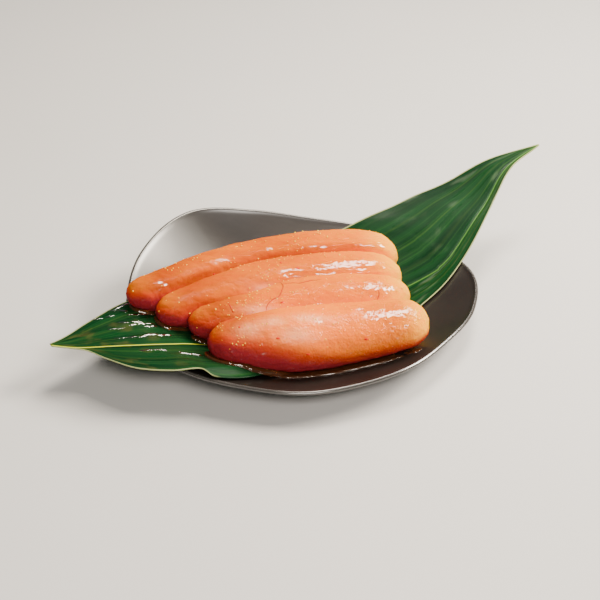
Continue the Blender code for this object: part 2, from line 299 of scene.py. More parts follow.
def smooth_line(points, count):
    """Points along a smooth open curve through the given rows."""
    rows = np.asarray(points, dtype=float)
    padded = np.vstack([2.0 * rows[0] - rows[1], rows, 2.0 * rows[-1] - rows[-2]])
    steps = np.linalg.norm(np.diff(rows, axis=0), axis=1)
    marks = np.concatenate([[0.0], np.cumsum(steps)])
    places = np.linspace(0.0, marks[-1], count)
    first = np.clip(np.searchsorted(marks, places, side="right") - 1, 0, len(rows) - 2)
    share = ((places - marks[first]) / steps[first])[:, None]
    return through_points(*[padded[first + step] for step in range(4)], share)


def dish_height(x, y):
    """Height of the dish's inner face, share of the way out, and the rim's height and radius."""
    angle = np.arctan2(y, x)
    radius = round_the_rim(RIM_RADII, angle)
    share = np.hypot(x, y) / radius
    climb = np.clip((share - FLOOR_SHARE) / (1.0 - FLOOR_SHARE), 0.0, None) ** WALL_CURL
    rim = round_the_rim(RIM_HEIGHTS, angle)
    return FLOOR_HEIGHT + (rim - FLOOR_HEIGHT) * climb, share, rim, radius


def leaf_place(x, y):
    """Place along and across the leaf."""
    along = x * math.cos(LEAF_HEADING) + y * math.sin(LEAF_HEADING)
    across = -x * math.sin(LEAF_HEADING) + y * math.cos(LEAF_HEADING)
    return along, across


def leaf_height(x, y):
    """Height of the leaf's lower face, as in the solid."""
    inner, share, rim, radius = dish_height(x, y)
    along, across = leaf_place(x, y)
    base = FLOOR_HEIGHT + LEAF_LIFT
    left_top = np.maximum(rim + LEAF_RIM_CLEARANCE, LEAF_LEFT_HEIGHT)
    bridging = base + (left_top - base) * smooth_step(share, BRIDGE_START, BRIDGE_END)
    bridging = np.maximum(bridging, np.minimum(inner, rim) + LEAF_LIFT)
    free = rim + LEAF_RIM_CLEARANCE + LEAF_RISE * np.clip(share - 1.0, 0.0, None) * radius
    low_inner = np.exp(-(inner + LEAF_LIFT) / LEAF_SOFTNESS)
    low_free = np.exp(-free / LEAF_SOFTNESS)
    lying = -LEAF_SOFTNESS * np.log(low_inner + low_free)
    follow = np.maximum(smooth_step(along, *LYING_ALONG), smooth_step(across, *LYING_ACROSS))
    phase = 2.0 * math.pi * along / LEAF_WAVE_LENGTH + across / LEAF_WAVE_SLANT
    wave = LEAF_WAVE * np.sin(phase) * smooth_step(share, *LOOSE_SHARE)
    return bridging * (1.0 - follow) + lying * follow + wave


def leaf_line(points, along):
    """Distance across at each place along, on a smooth curve through the points."""
    dense = smooth_line(points, LINE_POINTS)
    return np.interp(along, dense[:, 0], dense[:, 1])


def bed_height(x, y):
    """Top of what the lobes lie on: the leaf, and past its edge a fillet down to the dish."""
    along, across = leaf_place(x, y)
    past_front = leaf_line(LEAF_FRONT_EDGE, along) - across
    past_back = across - leaf_line(LEAF_BACK_EDGE, along)
    off_leaf = smooth_step(np.maximum(past_front, past_back), 0.0, LEAF_EDGE_FILLET)
    leaf_top = leaf_height(x, y) + LEAF_THICKNESS
    return leaf_top + (dish_height(x, y)[0] - leaf_top) * off_leaf


def noise_at(points, size, octaves=2, shift=0.0):
    """Noise of about -1 to 1 at each point, with features of the given size in mm."""
    scaled = points / np.asarray(size, dtype=float) + shift
    return np.array([noise.fractal(place, 1.0, 2.0, octaves) for place in scaled.tolist()])


def new_object(name, points, faces):
    """Object from points in mm and faces, shaded smooth."""
    mesh = bpy.data.meshes.new(name)
    mesh.from_pydata((np.asarray(points) * MM).tolist(), [], faces)
    mesh.shade_smooth()
    item = bpy.data.objects.new(name, mesh)
    bpy.context.scene.collection.objects.link(item)
    return item


def grid_faces(rows, columns, closed=False, first=0):
    """Quads between neighbouring points of a grid, closed across its columns if asked."""
    faces = []
    for row in range(rows - 1):
        for column in range(columns if closed else columns - 1):
            after = (column + 1) % columns
            low, high = first + row * columns, first + (row + 1) * columns
            faces.append((low + column, low + after, high + after, high + column))
    return faces


def solid_between(name, upper, lower, faces):
    """Closed object between two sheets of points that share their faces."""
    count = len(upper)
    edges = {pair for face in faces for pair in zip(face, face[1:] + face[:1])}
    rim = sorted(pair for pair in edges if pair[::-1] not in edges)
    walls = [(far, near, near + count, far + count) for near, far in rim]
    under = [tuple(corner + count for corner in face[::-1]) for face in faces]
    return new_object(name, np.vstack([upper, lower]), faces + under + walls)


def tree_of(mesh):
    """Search tree of a mesh, in mm."""
    points, _ = read_points(mesh)
    faces = [tuple(face.vertices) for face in mesh.polygons]
    return BVHTree.FromPolygons(points.tolist(), faces)


def store(item, name, values):
    """Keeps a number for each point of the mesh, for its material."""
    attribute = item.data.attributes.new(name, "FLOAT", "POINT")
    attribute.data.foreach_set("value", np.asarray(values, dtype=np.float32))


def settle(item):
    """Applies the item's modifiers to its mesh."""
    graph = bpy.context.evaluated_depsgraph_get()
    mesh = bpy.data.meshes.new_from_object(item.evaluated_get(graph))
    item.modifiers.clear()
    item.data = mesh


def read_points(mesh):
    """Points in mm, and normals."""
    points = np.empty(len(mesh.vertices) * 3)
    mesh.vertices.foreach_get("co", points)
    normals = np.empty(len(mesh.vertices) * 3)
    mesh.vertex_normals.foreach_get("vector", normals)
    return points.reshape(-1, 3) / MM, normals.reshape(-1, 3)


def write_points(mesh, points):
    """Moves the mesh's points to these, in mm."""
    mesh.vertices.foreach_set("co", (points * MM).ravel())
    mesh.update()


def material(name):
    """A new material, its node tree and its main shader."""
    result = bpy.data.materials.new(name)
    result.use_nodes = True
    return result, result.node_tree, result.node_tree.nodes["Principled BSDF"]


def add(tree, kind, inputs=(), **settings):
    """Adds a node, with each input set to a value or joined to another node's socket."""
    made = tree.nodes.new(kind)
    for key, value in settings.items():
        setattr(made, key, value)
    for key, value in dict(inputs).items():
        if isinstance(value, bpy.types.NodeSocket):
            tree.links.new(value, made.inputs[key])
        else:
            made.inputs[key].default_value = value
    return made


def places(tree):
    """Places on the object, in metres."""
    return add(tree, "ShaderNodeTexCoord").outputs["Object"]


def stretched(tree, vector, scale):
    """The vector times a scale for each axis."""
    mapping = add(tree, "ShaderNodeMapping", {"Vector": vector, "Scale": scale})
    return mapping.outputs["Vector"]


def cloud(tree, vector, scale, detail=3.0, roughness=0.5):
    """Noise from 0 to 1."""
    inputs = {"Vector": vector, "Scale": scale, "Detail": detail, "Roughness": roughness}
    return add(tree, "ShaderNodeTexNoise", inputs).outputs["Fac"]


def spread(tree, value, low, high, to_low=0.0, to_high=1.0):
    """The value's range from low to high, moved to another range and kept inside it."""
    inputs = {
        "Value": value, "From Min": low, "From Max": high, "To Min": to_low, "To Max": to_high}
    made = add(tree, "ShaderNodeMapRange", inputs, interpolation_type="SMOOTHSTEP")
    return made.outputs["Result"]


def calculate(tree, operation, first, second=0.0):
    """One step of arithmetic on numbers or sockets."""
    made = add(tree, "ShaderNodeMath", {0: first, 1: second}, operation=operation)
    return made.outputs["Value"]


def times(tree, first, second):
    """Product of two numbers or sockets."""
    return calculate(tree, "MULTIPLY", first, second)


def blend(tree, share, first, second):
    """Colour between two colours."""
    made = add(tree, "ShaderNodeMix", data_type="RGBA")
    sockets = (made.inputs["Factor"], made.inputs[6], made.inputs[7])
    for socket, value in zip(sockets, (share, first, second)):
        if isinstance(value, bpy.types.NodeSocket):
            tree.links.new(value, socket)
        else:
            socket.default_value = value
    return made.outputs[2]


def kept_number(tree, name):
    """A number that store kept for each point."""
    return add(tree, "ShaderNodeAttribute", attribute_name=name).outputs["Fac"]


def raise_by(tree, height, distance, under=None):
    """Bump of the given height in metres."""
    inputs = {"Height": height, "Strength": 1.0, "Distance": distance}
    made = add(tree, "ShaderNodeBump", inputs)
    if under is not None:
        tree.links.new(under, made.inputs["Normal"])
    return made.outputs["Normal"]


def glaze_material():
    """Dark satin glaze with faint pooling and pinprick unevenness, and a pale line painted along
    the rim as a highlight.
    """
    result, tree, shader = material("dark_satin_glaze")
    where = places(tree)
    pools = cloud(tree, where, 25.0, 3.0)
    specks = cloud(tree, where, 500.0, 2.0)
    pooled = spread(tree, pools, 0.35, 0.65)
    colour = blend(tree, pooled, (0.010, 0.007, 0.006, 1), (0.016, 0.012, 0.010, 1))
    # Painted highlight: a pale line along the rim, where the glaze is also made smoother.
    edge = kept_number(tree, "edge")
    colour = blend(tree, times(tree, edge, 0.12), colour, (0.42, 0.40, 0.38, 1))
    tree.links.new(colour, shader.inputs["Base Color"])
    rough = spread(tree, specks, 0.2, 0.8, 0.28, 0.295)
    rough = calculate(tree, "SUBTRACT", rough, times(tree, edge, 0.14))
    tree.links.new(rough, shader.inputs["Roughness"])
    shader.inputs["IOR"].default_value = 2.0
    tree.links.new(raise_by(tree, pools, 0.0002), shader.inputs["Normal"])
    return result


def leaf_material():
    """Waxy green blade: pale midrib, a painted highlight along the margins, fine veins along it,
    dry patches by the stalk, and patches of painted sheen towards the tip.
    """
    result, tree, shader = material("wet_green_leaf")
    where = places(tree)
    along = kept_number(tree, "along")
    across = kept_number(tree, "across")
    margin = kept_number(tree, "margin")
    runs = add(tree, "ShaderNodeCombineXYZ", {"X": along, "Y": across}).outputs["Vector"]
    broad = cloud(tree, stretched(tree, runs, (0.012, 7.0, 1.0)), 1.0, 4.0)
    fine = cloud(tree, stretched(tree, runs, (0.006, 42.0, 1.0)), 1.0, 2.0)
    bands = spread(tree, broad, 0.35, 0.68)
    green = blend(tree, bands, (0.0021, 0.020, 0.0068, 1), (0.0042, 0.040, 0.0105, 1))
    veins = spread(tree, fine, 0.50, 0.72)
    green = blend(tree, times(tree, veins, 0.26), green, (0.03, 0.11, 0.02, 1))
    dry = cloud(tree, stretched(tree, runs, (0.07, 3.0, 1.0)), 1.0, 3.0)
    by_stalk = spread(tree, along, -70.0, -105.0)
    dry = times(tree, spread(tree, dry, 0.52, 0.66), by_stalk)
    green = blend(tree, times(tree, dry, 0.20), green, (0.16, 0.12, 0.035, 1))
    # Painted sheen: pale grey-green patches towards the tip, which also get a glossier coat.
    sheen_patches = cloud(tree, stretched(tree, runs, (0.035, 3.2, 1.0)), 1.0, 2.0)
    sheen_patches = times(tree, spread(tree, sheen_patches, 0.56, 0.72), spread(tree, along, 20.0, 70.0))
    green = blend(tree, times(tree, sheen_patches, 0.35), green, (0.11, 0.17, 0.10, 1))
    lines = kept_number(tree, "lines")
    green = blend(tree, times(tree, lines, 0.12), green, (0.13, 0.24, 0.03, 1))
    from_rib = calculate(tree, "ABSOLUTE", kept_number(tree, "from_rib"))
    rib = spread(tree, from_rib, 0.65, 0.25)
    to_tip = spread(tree, along, -60.0, 60.0)
    rib_colour = blend(tree, to_tip, (0.46, 0.50, 0.04, 1), (0.05, 0.14, 0.025, 1))
    green = blend(tree, rib, green, rib_colour)
    # Painted highlight: a pale line along the leaf's margins, left off where the edge is soaked.
    edge = times(tree, spread(tree, margin, 0.85, 0.35), kept_number(tree, "edge_highlight_shown"))
    colour = blend(tree, times(tree, edge, 0.8), green, (0.42, 0.46, 0.20, 1))
    tree.links.new(colour, shader.inputs["Base Color"])
    wet = cloud(tree, stretched(tree, runs, (0.05, 9.0, 1.0)), 1.0, 3.0)
    tree.links.new(spread(tree, wet, 0.35, 0.65, 0.26, 0.44), shader.inputs["Roughness"])
    shader.inputs["Specular IOR Level"].default_value = 0.07
    tree.links.new(times(tree, sheen_patches, 0.5), shader.inputs["Coat Weight"])
    shader.inputs["Coat Roughness"].default_value = 0.18
    shader.inputs["Subsurface Weight"].default_value = 0.05
    shader.inputs["Subsurface Radius"].default_value = (0.4, 1.0, 0.2)
    shader.inputs["Subsurface Scale"].default_value = 0.0008
    bump = raise_by(tree, fine, 0.00003)
    bump = raise_by(tree, cloud(tree, where, 700.0, 2.0), 0.00002, bump)
    tree.links.new(bump, shader.inputs["Normal"])
    return result


def roe_material():
    """Moist membrane over fine eggs: crimson painted shade low on the lobe, orange above, painted
    light that makes it pale to the right, and a painted sheen in soft patches.
    """
    result, tree, shader = material("roe_membrane")
    where = places(tree)
    rise = kept_number(tree, "rise")
    run = kept_number(tree, "run")
    soft_sheen = kept_number(tree, "soft_sheen")
    painted_lobe_light = kept_number(tree, "painted_lobe_light")
    mottle = cloud(tree, stretched(tree, where, (0.5, 1.0, 1.0)), 90.0, 4.0, 0.6)
    mottle = spread(tree, mottle, 0.35, 0.68)

    # Along the lobe: mottled orange; painted light makes it paler on the front lobe and pale at
    # the right end, and painted shade makes it deep at the left end, with amber over its upper
    # part.
    tone = blend(tree, mottle, (0.54, 0.086, 0.0001, 1), (0.64, 0.130, 0.0001, 1))
    tone = blend(tree, painted_lobe_light, tone, (0.92, 0.178, 0.0003, 1))
    tone = blend(tree, spread(tree, run, 0.50, 0.85), tone, (0.80, 0.17, 0.0002, 1))
    tone = blend(tree, spread(tree, run, 0.82, 1.0), tone, (0.98, 0.36, 0.004, 1))
    tone = blend(tree, spread(tree, run, 0.38, 0.04), tone, (0.34, 0.044, 0.0005, 1))
    amber = times(tree, spread(tree, run, 0.14, 0.02), spread(tree, rise, 0.45, 0.85))
    tone = blend(tree, times(tree, amber, 0.7), tone, (0.66, 0.16, 0.0006, 1))

    # Up the lobe: painted shade, red then crimson low on the lobe, reaching higher towards the
    # shaded left.
    uneven = times(tree, cloud(tree, where, 55.0, 3.0), 0.2)
    uneven = calculate(tree, "ADD", uneven, times(tree, painted_lobe_light, 0.18))
    shade_line = calculate(tree, "ADD", spread(tree, run, 0.0, 0.7, 0.54, 0.0), uneven)
    above = calculate(tree, "SUBTRACT", rise, shade_line)
    tone = blend(tree, spread(tree, above, 0.28, 0.04), tone, (0.54, 0.050, 0.008, 1))
    tone = blend(tree, spread(tree, above, 0.12, -0.14), tone, (0.31, 0.021, 0.030, 1))
    # Painted sheen: paler pink in the soft sheen patches.
    tone = blend(tree, times(tree, soft_sheen, 0.6), tone, (1.0, 0.38, 0.16, 1))
    tree.links.new(tone, shader.inputs["Base Color"])
    shader.inputs["Roughness"].default_value = 0.45
    shader.inputs["Specular IOR Level"].default_value = 0.0
    shader.inputs["Subsurface Weight"].default_value = 0.5
    shader.inputs["Subsurface Radius"].default_value = (1.0, 0.25, 0.10)
    shader.inputs["Subsurface Scale"].default_value = 0.003

    # Coat: glossy where wet, soft in the soft sheen patches, faint over the front lobe's grainy
    # skin.
    puddles = cloud(tree, stretched(tree, where, (0.6, 1.0, 1.0)), 430.0, 4.0, 0.6)
    wet = calculate(tree, "ADD", times(tree, kept_number(tree, "wet"), 0.5), puddles)
    wet = spread(tree, wet, 0.62, 0.68)
    soft = times(tree, soft_sheen, 0.45)
    sheen = calculate(tree, "MAXIMUM", wet, soft)
    grainy = times(tree, painted_lobe_light, spread(tree, run, 0.25, 0.6, 0.08, 0.22))
    sheen = calculate(tree, "MAXIMUM", sheen, grainy)
    tree.links.new(spread(tree, sheen, 0.0, 1.0, 0.03, 1.0), shader.inputs["Coat Weight"])
    coarse = spread(tree, calculate(tree, "SUBTRACT", soft_sheen, wet), 0.2, 0.8, 0.05, 0.28)
    tree.links.new(coarse, shader.inputs["Coat Roughness"])
    shader.inputs["Coat IOR"].default_value = 1.8

    # Eggs show as fine domes under the creased membrane; liquid levels them in the coat.
    eggs = add(tree, "ShaderNodeTexVoronoi", {"Vector": where, "Scale": 750.0}, feature="F1")
    domes = spread(tree, eggs.outputs["Distance"], 0.0, 0.7, 1.0, 0.0)
    domes = times(tree, domes, spread(tree, grainy, 0.0, 0.2, 0.35, 1.0))
    creases = cloud(tree, stretched(tree, where, (0.45, 1.0, 1.0)), 600.0, 3.0)
    bump = raise_by(tree, creases, 0.00010, raise_by(tree, domes, 0.00016))
    tree.links.new(bump, shader.inputs["Normal"])
    dry = calculate(tree, "SUBTRACT", 1.0, times(tree, wet, 0.85))
    gloss = raise_by(tree, times(tree, domes, dry), 0.00020)
    tree.links.new(gloss, shader.inputs["Coat Normal"])
    return result


def liquid_material():
    """Clear reddish-brown seasoning liquid."""
    result, tree, shader = material("seasoning_liquid")
    cloudy = cloud(tree, places(tree), 120.0, 2.0)
    colour = blend(tree, cloudy, (0.55, 0.16, 0.05, 1), (0.70, 0.26, 0.09, 1))
    tree.links.new(colour, shader.inputs["Base Color"])
    shader.inputs["Roughness"].default_value = 0.04
    shader.inputs["IOR"].default_value = 1.9
    shader.inputs["Transmission Weight"].default_value = 0.9
    return result


def drop_material():
    """Clear liquid on the leaf."""
    result, tree, shader = material("clear_liquid")
    cloudy = cloud(tree, places(tree), 200.0, 2.0)
    colour = blend(tree, cloudy, (0.85, 0.9, 0.85, 1), (0.95, 0.95, 0.9, 1))
    tree.links.new(colour, shader.inputs["Base Color"])
    shader.inputs["Roughness"].default_value = 0.03
    shader.inputs["IOR"].default_value = 1.5
    shader.inputs["Transmission Weight"].default_value = 1.0
    return result


def grain_material():
    """Golden to pale spice grains, each its own tint."""
    result, tree, shader = material("spice_grains")
    tint = kept_number(tree, "tint")
    golden = spread(tree, tint, 0.0, 0.6)
    colour = blend(tree, golden, (0.98, 0.34, 0.001, 1), (1.0, 0.54, 0.002, 1))
    colour = blend(tree, spread(tree, tint, 0.6, 0.9), colour, (1.0, 0.74, 0.05, 1))
    tree.links.new(colour, shader.inputs["Base Color"])
    rough = spread(tree, cloud(tree, places(tree), 3000.0), 0.3, 0.7, 0.2, 0.4)
    tree.links.new(rough, shader.inputs["Roughness"])
    return result


def red_material(name, dark, light, roughness):
    """Mottled red, for chilli flakes and blood vessels."""
    result, tree, shader = material(name)
    tone = cloud(tree, places(tree), 1500.0, 3.0)
    tree.links.new(blend(tree, tone, dark, light), shader.inputs["Base Color"])
    shader.inputs["Roughness"].default_value = roughness
    shader.inputs["Specular IOR Level"].default_value = 0.05
    return result


def floor_material():
    """Plain pale floor, faintly uneven."""
    result, tree, shader = material("pale_floor")
    tone = cloud(tree, places(tree), 6.0, 2.0)
    colour = blend(tree, tone, (0.62, 0.61, 0.60, 1), (0.66, 0.65, 0.64, 1))
    tree.links.new(colour, shader.inputs["Base Color"])
    shader.inputs["Roughness"].default_value = 0.8
    return result


def dish_ring(share, face, height, angle):
    """One ring of the dish's wall: on its inner face, on its underside, or level."""
    radius = share * round_the_rim(RIM_RADII, angle)
    x, y = radius * np.cos(angle), radius * np.sin(angle)
    inner = dish_height(x, y)[0]
    if face == "inner":
        z = inner + height
    elif face == "under":
        outward = smooth_step(share, FOOT_SHARE, 1.0)
        z = inner - WALL_UNDER + (WALL_UNDER - RIM_THICKNESS) * outward
    else:
        z = np.full_like(x, height)
    return np.column_stack([x, y, z])


def refined(rings, count):
    """More rings on smooth lines through the given ones, close together where those are."""
    steps = np.linalg.norm(np.diff(rings[:, 0], axis=0), axis=1)
    marks = np.concatenate([[0.0], np.cumsum(np.sqrt(steps))])
    places_out = np.linspace(0.0, marks[-1], count)
    first = np.clip(np.searchsorted(marks, places_out, side="right") - 1, 0, len(rings) - 2)
    share = ((places_out - marks[first]) / (marks[first + 1] - marks[first]))[:, None, None]
    padded = np.concatenate([rings[:1], rings, rings[-1:]])
    return through_points(*[padded[first + step] for step in range(4)], share)


def make_dish(finish):
    """The dish, from the middle of its inner face over the rim to the middle of its sole."""
    mean_radius = float(np.mean(RIM_RADII))
    inset, offset = np.array(RIM_ROUNDING).T
    inside = np.linspace(INSIDE_SHARES[1], 1.0 - inset[0] / mean_radius, INSIDE_STEPS)
    under = np.linspace(
        1.0 - RIM_UNDER_INSET / mean_radius, FOOT_SHARE + FOOT_TAPER, UNDER_STEPS)
    profile = [(share, "inner", 0.0) for share in (0.0, INSIDE_SHARES[0], *inside)]
    profile += [(1.0 - i / mean_radius, "inner", o) for i, o in zip(inset[1:], offset[1:])]
    profile += [(share, "under", 0.0) for share in under]
    profile += [(FOOT_SHARE, "level", FOOT_HEIGHT), (FOOT_SHARE - FOOT_TAPER, "level", 0.0)]
    profile.append((0.0, "level", 0.0))
    angle = np.linspace(0.0, 2.0 * math.pi, DISH_SEGMENTS, endpoint=False)
    fine = refined(np.array([dish_ring(*part, angle) for part in profile]), DISH_RINGS)
    middle = fine[1:-1].reshape(-1, 3)
    points = np.vstack([middle, fine[0, :1], fine[-1, :1]])
    faces = grid_faces(DISH_RINGS - 2, DISH_SEGMENTS, closed=True)
    top, sole = len(middle), len(middle) + 1
    last = (DISH_RINGS - 3) * DISH_SEGMENTS
    for side in range(DISH_SEGMENTS):
        after = (side + 1) % DISH_SEGMENTS
        faces.append((after, top, side))
        faces.append((last + side, last + after, sole))
    item = new_object("glazed_dish", points, faces)
    x, y, z = points.T
    out = np.hypot(x, y) / round_the_rim(RIM_RADII, np.arctan2(y, x))
    # Where the rim's painted highlight lies: in from the rim and just below its top.
    start, end = [1.0 - distance / mean_radius for distance in RIM_HIGHLIGHT_INSETS]
    below = dish_height(x, y)[0] - z
    edge = smooth_step(out, start, end) * smooth_step(below, *RIM_HIGHLIGHT_DEPTHS)
    store(item, "edge", edge)
    item.data.materials.append(finish)
    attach(item, BODY)
    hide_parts("dish")


def make_leaf(finish):
    """The leaf as a thin solid with raised veins, a sunken midrib and a slight ripple."""
    along = np.linspace(LEAF_BACK_EDGE[0][0], LEAF_BACK_EDGE[-1][0], LEAF_ROWS)
    back, front = leaf_line(LEAF_BACK_EDGE, along), leaf_line(LEAF_FRONT_EDGE, along)
    rib = np.clip(leaf_line(LEAF_MIDRIB, along), front + RIB_MARGIN, back - RIB_MARGIN)
    side = np.linspace(-1.0, 1.0, LEAF_COLUMNS)
    side = np.sign(side) * np.abs(side) ** LEAF_CROWDING
    reach = np.where(side[None, :] < 0.0, (rib - front)[:, None], (back - rib)[:, None])
    from_rib = side[None, :] * reach
    across = rib[:, None] + from_rib
    place = np.repeat(along[:, None], LEAF_COLUMNS, axis=1)
    x = place * math.cos(LEAF_HEADING) - across * math.sin(LEAF_HEADING)
    y = place * math.sin(LEAF_HEADING) + across * math.cos(LEAF_HEADING)
    z = leaf_height(x, y)
    runs = np.column_stack([place.ravel(), np.tile(side, LEAF_ROWS), np.zeros(place.size)])
    ripple = RIPPLE_HEIGHT * noise_at(runs, RIPPLE_SIZE).reshape(z.shape)
    veins = VEIN_HEIGHT * np.cos(side * 2.0 * math.pi * VEINS_A_SIDE)[None, :]
    veins = veins * np.clip(reach / VEIN_FULL_REACH, 0.0, 1.0)
    groove = -GROOVE_DEPTH * np.exp(-((from_rib / GROOVE_WIDTH) ** 2))
    top = z + LEAF_THICKNESS + ripple + veins + groove
    upper = np.column_stack([x.ravel(), y.ravel(), top.ravel()])
    lower = np.column_stack([x.ravel(), y.ravel(), (top - LEAF_LOOK_THICKNESS).ravel()])
    item = solid_between("wet_leaf", upper, lower, grid_faces(LEAF_ROWS, LEAF_COLUMNS))
    lines = sum(
        np.exp(-(((side[None, :] - at) * reach / LEAF_LINE_WIDTH) ** 2)) for at in LEAF_LINES)
    # Where the margin's painted highlight is left off: the soaked front edge.
    soaked = smooth_step(place, *SOAKED_FROM) * smooth_step(place, *SOAKED_TO)
    soaked = soaked * (across < rib[:, None])
    kept = {
        "along": runs[:, 0],
        "across": runs[:, 1],
        "from_rib": from_rib,
        "margin": np.minimum(across - front[:, None], back[:, None] - across),
        "lines": lines,
        "edge_highlight_shown": 1.0 - soaked,
    }
    for name, values in kept.items():
        store(item, name, np.tile(values.ravel(), 2))
    item.data.materials.append(finish)
    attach(item, BODY)
    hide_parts("leaf")


def near_patches(points, patches):
    """1 in the middle of a patch, falling off round it."""
    share = np.zeros(len(points))
    for x, y, z, along, across in patches:
        away = (points - (x, y, z)) / (along, across, across)
        share = np.maximum(share, np.exp(-(away**2).sum(axis=1)))
    return share


def fine_copy(node):
    """A copy of the node's solid, made fine and smooth."""
    item = bpy.data.objects.new(f"{node}_skin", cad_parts[node].data.copy())
    bpy.context.scene.collection.objects.link(item)
    remesh = item.modifiers.new("remesh", "REMESH")
    remesh.mode = "VOXEL"
    remesh.voxel_size = LOBE_VOXEL * MM
    smooth = item.modifiers.new("smooth", "SMOOTH")
    smooth.factor = LOBE_SMOOTH_FACTOR
    smooth.iterations = LOBE_SMOOTHING
    settle(item)
    item.data.shade_smooth()
    return item


def share_of_height(points, left, right):
    """Share of the lobe's height at each point, from 0 at its underside to 1 at its top."""
    bins = np.linspace(left, right, LOBE_BINS)
    slot = np.clip(np.searchsorted(bins, points[:, 0]), 0, len(bins) - 1)
    low, high = np.full(len(bins), np.inf), np.full(len(bins), -np.inf)
    np.minimum.at(low, slot, points[:, 2])
    np.maximum.at(high, slot, points[:, 2])
    low[0], high[0] = low[1], high[1]
    middle = np.interp(points[:, 0], bins, (low + high) / 2.0)
    half = np.interp(points[:, 0], bins, np.maximum((high - low) / 2.0, LOBE_LEAST_HALF))
    return np.clip(0.5 + 0.5 * (points[:, 2] - middle) / half, 0.0, 1.0)


def make_lobe(node, number, finish):
    """One roe lobe, with the membrane's dents and wrinkles."""
    item = fine_copy(node)
    points, normals = read_points(item.data)
    shift = LOBE_SHIFT * number
    lumps = noise_at(points, LUMP_SIZE, 2, shift)
    dents = noise_at(points, DENT_SIZE, 3, shift + DENT_SHIFT)
    wrinkles = np.abs(noise_at(points, WRINKLE_SIZE, 3, shift + WRINKLE_SHIFT))
    wrinkles = np.clip(1.0 - wrinkles * WRINKLE_NARROWING, 0.0, 1.0) ** 2
    ripples = noise_at(points, SKIN_RIPPLE_SIZE, 2, shift + SKIN_RIPPLE_SHIFT)
    relief = LOBE_REGAIN + LUMP_HEIGHT * lumps + DENT_HEIGHT * dents
    relief = relief - WRINKLE_DEPTH * wrinkles + SKIN_RIPPLE_HEIGHT * ripples
    write_points(item.data, points + normals * relief[:, None])
    left, right = points[:, 0].min(), points[:, 0].max()
    store(item, "rise", share_of_height(points, left, right))
    store(item, "run", (points[:, 0] - left) / (right - left))
    store(item, "wet", near_patches(points, WET_PATCHES))
    store(item, "soft_sheen", near_patches(points, SOFT_SHEEN_PATCHES))
    store(item, "painted_lobe_light", np.full(len(points), PAINTED_LOBE_LIGHT[number]))
    item.data.materials.clear()
    item.data.materials.append(finish)
    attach(item, BODY)
    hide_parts(node)
    return item


def near_lobes(trees, probes):
    """Distance from each probe to the lobes, 0 inside one, and whether a lobe hides it."""
    near = np.full(len(probes), np.inf)
    hidden = np.zeros(len(probes), dtype=bool)
    for tree in trees:
        for index, probe in enumerate(probes):
            place, normal, _, distance = tree.find_nearest(probe, FILM_SEARCH)
            if place is None:
                continue
            inside = (Vector(probe) - place).dot(normal) < 0.0
            near[index] = min(near[index], 0.0 if inside else distance)
            if distance < FILM_HIDDEN_GAP:
                above = tree.ray_cast(probe, (0.0, 0.0, 1.0), FILM_HIDDEN_GAP)[0]
                hidden[index] |= inside or above is not None
    return np.minimum(near, FILM_SEARCH), hidden


def make_film(lobes, finish):
    """The film of seasoning liquid round the lobes' feet, a closed sheet on the leaf and dish."""
    plan = np.vstack([read_points(lobe.data)[0][:, :2] for lobe in lobes])
    low, high = plan.min(axis=0) - FILM_MARGIN, plan.max(axis=0) + FILM_MARGIN
    x, y = np.meshgrid(
        np.arange(low[0], high[0], FILM_GRID), np.arange(low[1], high[1], FILM_GRID))
    above = bed_height(x, y).ravel() + FILM_PROBE_HEIGHT
    probes = np.column_stack([x.ravel(), y.ravel(), above]).tolist()
    near, hidden = near_lobes([tree_of(lobe.data) for lobe in lobes], probes)
    near, hidden = near.reshape(x.shape), hidden.reshape(x.shape)
    around = np.column_stack([x.ravel(), y.ravel(), np.zeros(x.size)])
    uneven = FILM_UNEVEN * noise_at(around, FILM_UNEVEN_SIZE).reshape(x.shape)
    field = FILM_REACH + FILM_FRONT_REACH * smooth_step(y, *FILM_FRONT) + uneven - near

    # The cells that hold liquid, and the points at their corners.
    wet = field > 0.0
    before, after = slice(None, -1), slice(1, None)
    corners = [(before, before), (after, before), (before, after), (after, after)]
    cells = np.any([wet[corner] for corner in corners], axis=0)
    cells &= ~np.all([hidden[corner] for corner in corners], axis=0)
    used = np.zeros_like(wet)
    for corner in corners:
        used[corner] |= cells

    # Points just past the film's edge move in to lie on it.
    slope_y, slope_x = np.gradient(field, FILM_GRID)
    steep = np.maximum(slope_x**2 + slope_y**2, FILM_LEAST_SLOPE)
    outside = used & ~wet
    x = x - np.where(outside, field * slope_x / steep, 0.0)
    y = y - np.where(outside, field * slope_y / steep, 0.0)
    bed = bed_height(x, y)
    inward = np.clip(np.where(outside, 0.0, field) / FILM_EDGE, 0.0, 1.0)
    depth = FILM_LEAST_DEPTH + FILM_DEPTH * np.sqrt(1.0 - (1.0 - inward) ** 2)
    depth += FILM_CLIMB * np.clip(1.0 - near / FILM_CLIMB_WIDTH, 0.0, 1.0) ** 2
    number = np.full(wet.shape, -1)
    number[used] = np.arange(used.sum())
    faces = []
    for row, column in zip(*np.nonzero(cells)):
        block = number[row:row + 2, column:column + 2]
        faces.append((int(block[0, 0]), int(block[0, 1]), int(block[1, 1]), int(block[1, 0])))
    upper = np.column_stack([x[used], y[used], (bed + depth)[used]])
    lower = np.column_stack([x[used], y[used], (bed - FILM_SINK)[used]])
    item = solid_between("seasoning_film", upper, lower, faces)
    item.data.materials.append(finish)
    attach(item, BODY)


